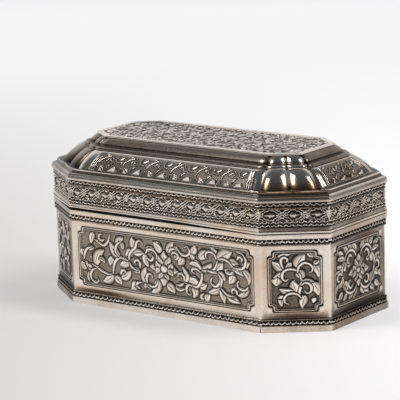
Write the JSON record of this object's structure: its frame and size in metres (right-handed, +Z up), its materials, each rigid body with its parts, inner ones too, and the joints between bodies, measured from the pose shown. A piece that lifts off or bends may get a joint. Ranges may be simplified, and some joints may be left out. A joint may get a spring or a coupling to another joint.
{
  "type": "silver box",
  "caption": "Oblong silver keepsake box with cut corners, chased foliate panels, zigzag wire trim and a lift-off stepped and lobed lid.",
  "frame": {"origin": "middle of the underside, on the surface that the box stands on", "axes": "+X along the long walls, +Y towards the back long wall, +Z up through the lid"},
  "size_m": [0.163, 0.0876, 0.0788],
  "materials": {
    "plain_silver": "plain hand-finished silver sheet and strip, softly polished, with fine scratches and brown tarnish along the joints",
    "chased_silver": "chased and punched silver, bright on the raised leaves and brown-black in the ground",
    "polished_dome_silver": "polished silver lobes with amber tarnish towards their feet",
    "zigzag_wire_silver": "crimped silver wire with blackened hollows"
  },
  "bodies": {
    "box": {"base_plate": "plain_silver", "body_wall": "chased_silver", "foot_band": "plain_silver", "foot_zigzag_wire": "zigzag_wire_silver", "foot_plain_wire": "plain_silver", "rim_plain_wire": "plain_silver", "rim_zigzag_wire": "zigzag_wire_silver", "rim_band": "plain_silver", "inner_collar": "plain_silver"},
    "lid": {"lid_foot_band": "plain_silver", "lid_lower_zigzag_wire": "zigzag_wire_silver", "lid_middle_zigzag_wire": "zigzag_wire_silver", "lid_wall": "chased_silver", "lid_plain_wire": "plain_silver", "lid_upper_zigzag_wire": "zigzag_wire_silver", "lid_cornice": "plain_silver", "lid_dome": "polished_dome_silver", "lid_top_plate": "chased_silver"}
  },
  "joints": [
    {"name": "lid_lift", "type": "slide", "parent": "box", "child": "lid", "axis": [0, 0, 1], "range_m": [0, 0.06]}
  ]
}
